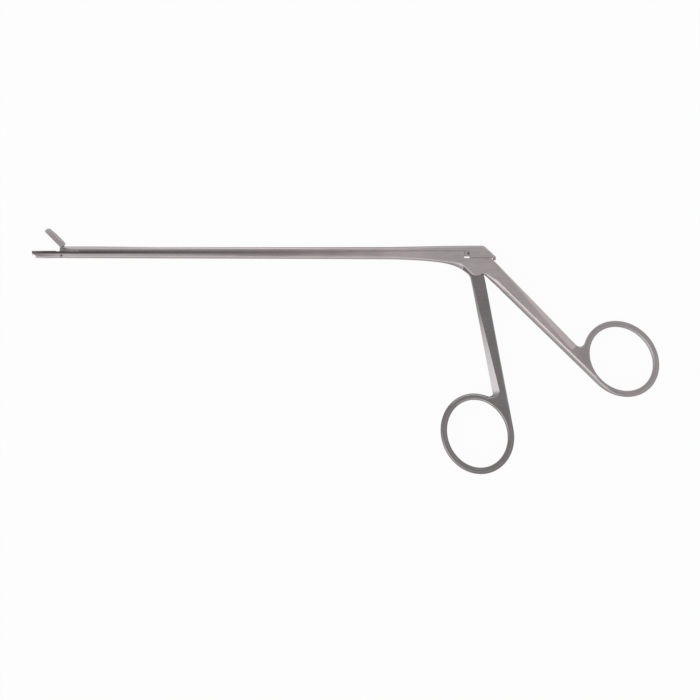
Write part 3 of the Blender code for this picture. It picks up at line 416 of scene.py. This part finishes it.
# The table is a sheet of white card. The camera sees it as white, and it keeps the faint
# shadow under the steel.
CARD_HALF = 2.0            # half the width of the card, in metres
CARD_DROP = 0.2 * MM       # the card lies this far under the steel
CARD_WHITE = 0.95          # share of its white that no shadow takes away
corners = np.array([(-1, -1), (1, -1), (1, 1), (-1, 1)]) * CARD_HALF
card = bpy.data.meshes.new("white_card")
card.from_pydata([(x, y, -CARD_DROP) for x, y in corners.tolist()], [], [(0, 1, 2, 3)])
table = bpy.data.objects.new("white_card", card)
bpy.context.collection.objects.link(table)
paper = bpy.data.materials.new("white card")
paper.use_nodes = True
tree = paper.node_tree
tree.nodes.clear()
matt = add_node(tree, "ShaderNodeBsdfDiffuse", {"Color": linear("#f4f4f4")})
glow = add_node(tree, "ShaderNodeEmission", {"Color": linear("#ffffff"), "Strength": 1.0})
path = add_node(tree, "ShaderNodeLightPath")
shown = add_node(tree, "ShaderNodeMath", {"operation": "ADD"},
                 {0: path.outputs["Is Camera Ray"], 1: path.outputs["Is Glossy Ray"]})
shown = add_node(tree, "ShaderNodeMath", {"operation": "ADD", "use_clamp": True},
                 {0: shown.outputs[0], 1: path.outputs["Is Transmission Ray"]})
seen = add_node(tree, "ShaderNodeMath", {"operation": "MULTIPLY", 1: CARD_WHITE},
                {0: shown.outputs[0]})
blend = add_node(tree, "ShaderNodeMixShader", None,
                 {0: seen.outputs[0], 1: matt.outputs[0], 2: glow.outputs[0]})
add_node(tree, "ShaderNodeOutputMaterial", None, {"Surface": blend.outputs[0]})
card.materials.append(paper)

# A white photographer's tent stands round the table: dark straight overhead, where the
# camera looks in, and bright down its walls, most of all on the left and in front.
# TENT gives the brightness at some heights, from the table to straight overhead.
TENT = ((0.0, 0.80), (0.20, 1.0), (0.50, 1.0), (0.78, 0.78), (0.93, 0.50), (1.0, 0.38))
BRIGHT_SIDE = (-0.80, -0.60, 0.0)
world = bpy.data.worlds.new("tent")
bpy.context.scene.world = world
world.use_nodes = True
tree = world.node_tree
tree.nodes.clear()
place = add_node(tree, "ShaderNodeTexCoord")
split = add_node(tree, "ShaderNodeSeparateXYZ", None, {0: place.outputs["Generated"]})
height = add_node(tree, "ShaderNodeValToRGB", None, {"Fac": split.outputs["Z"]})
ramp = height.color_ramp
while len(ramp.elements) < len(TENT):
    ramp.elements.new(0.5)
for element, (up, level) in zip(ramp.elements, TENT):
    element.position = up
    element.color = (level, level, level, 1.0)
lean = add_node(tree, "ShaderNodeVectorMath", {"operation": "DOT_PRODUCT", 1: BRIGHT_SIDE},
                {0: place.outputs["Generated"]})
side = add_node(tree, "ShaderNodeMapRange",
                {"interpolation_type": "SMOOTHSTEP",
                 "From Min": 0.62, "From Max": 0.95, "To Min": 0.79, "To Max": 1.80},
                {"Value": lean.outputs["Value"]})
tent_light = add_node(tree, "ShaderNodeBackground", None,
                      {"Color": height.outputs["Color"], "Strength": side.outputs["Result"]})
add_node(tree, "ShaderNodeOutputWorld", None, {"Surface": tent_light.outputs[0]})

# Two softboxes stand behind the tent's walls: place and watts. Each is turned to the middle.
LAMP_SIZE = 0.60
LAMPS = (("left_softbox", (-0.80, -0.55, 0.60), 1.0), ("back_softbox", (0.10, 0.95, 0.65), 0.3))
for name, stand, power in LAMPS:
    lamp = bpy.data.lights.new(name, "AREA")
    lamp.size = LAMP_SIZE
    lamp.energy = power
    holder = bpy.data.objects.new(name, lamp)
    bpy.context.collection.objects.link(holder)
    holder.location = stand
    aim = -np.array(stand)
    yaw = math.atan2(aim[1], aim[0])
    pitch = math.atan2(math.hypot(aim[0], aim[1]), -aim[2])
    holder.rotation_euler = (pitch, 0.0, yaw - math.pi / 2)

# The camera looks straight down from far off, so that the instrument shows flat, as in a
# catalogue, with none of its upright walls.
VIEW_WIDTH = 283.5 * MM    # what the picture shows from side to side
LENS = 200.0               # focal length and sensor width, in millimetres
SENSOR = 36.0
MIDDLE = (1.84 * MM, 0.55 * MM, 3.2 * MM)
camera_data = bpy.data.cameras.new("catalogue_camera")
camera_data.lens = LENS
camera_data.sensor_width = SENSOR
camera_data.clip_start = 0.05
camera_data.clip_end = 20.0
camera = bpy.data.objects.new("catalogue_camera", camera_data)
bpy.context.collection.objects.link(camera)
camera.location = (MIDDLE[0], MIDDLE[1], MIDDLE[2] + VIEW_WIDTH * LENS / SENSOR)
bpy.context.scene.camera = camera
bpy.context.scene.view_settings.view_transform = "Standard"
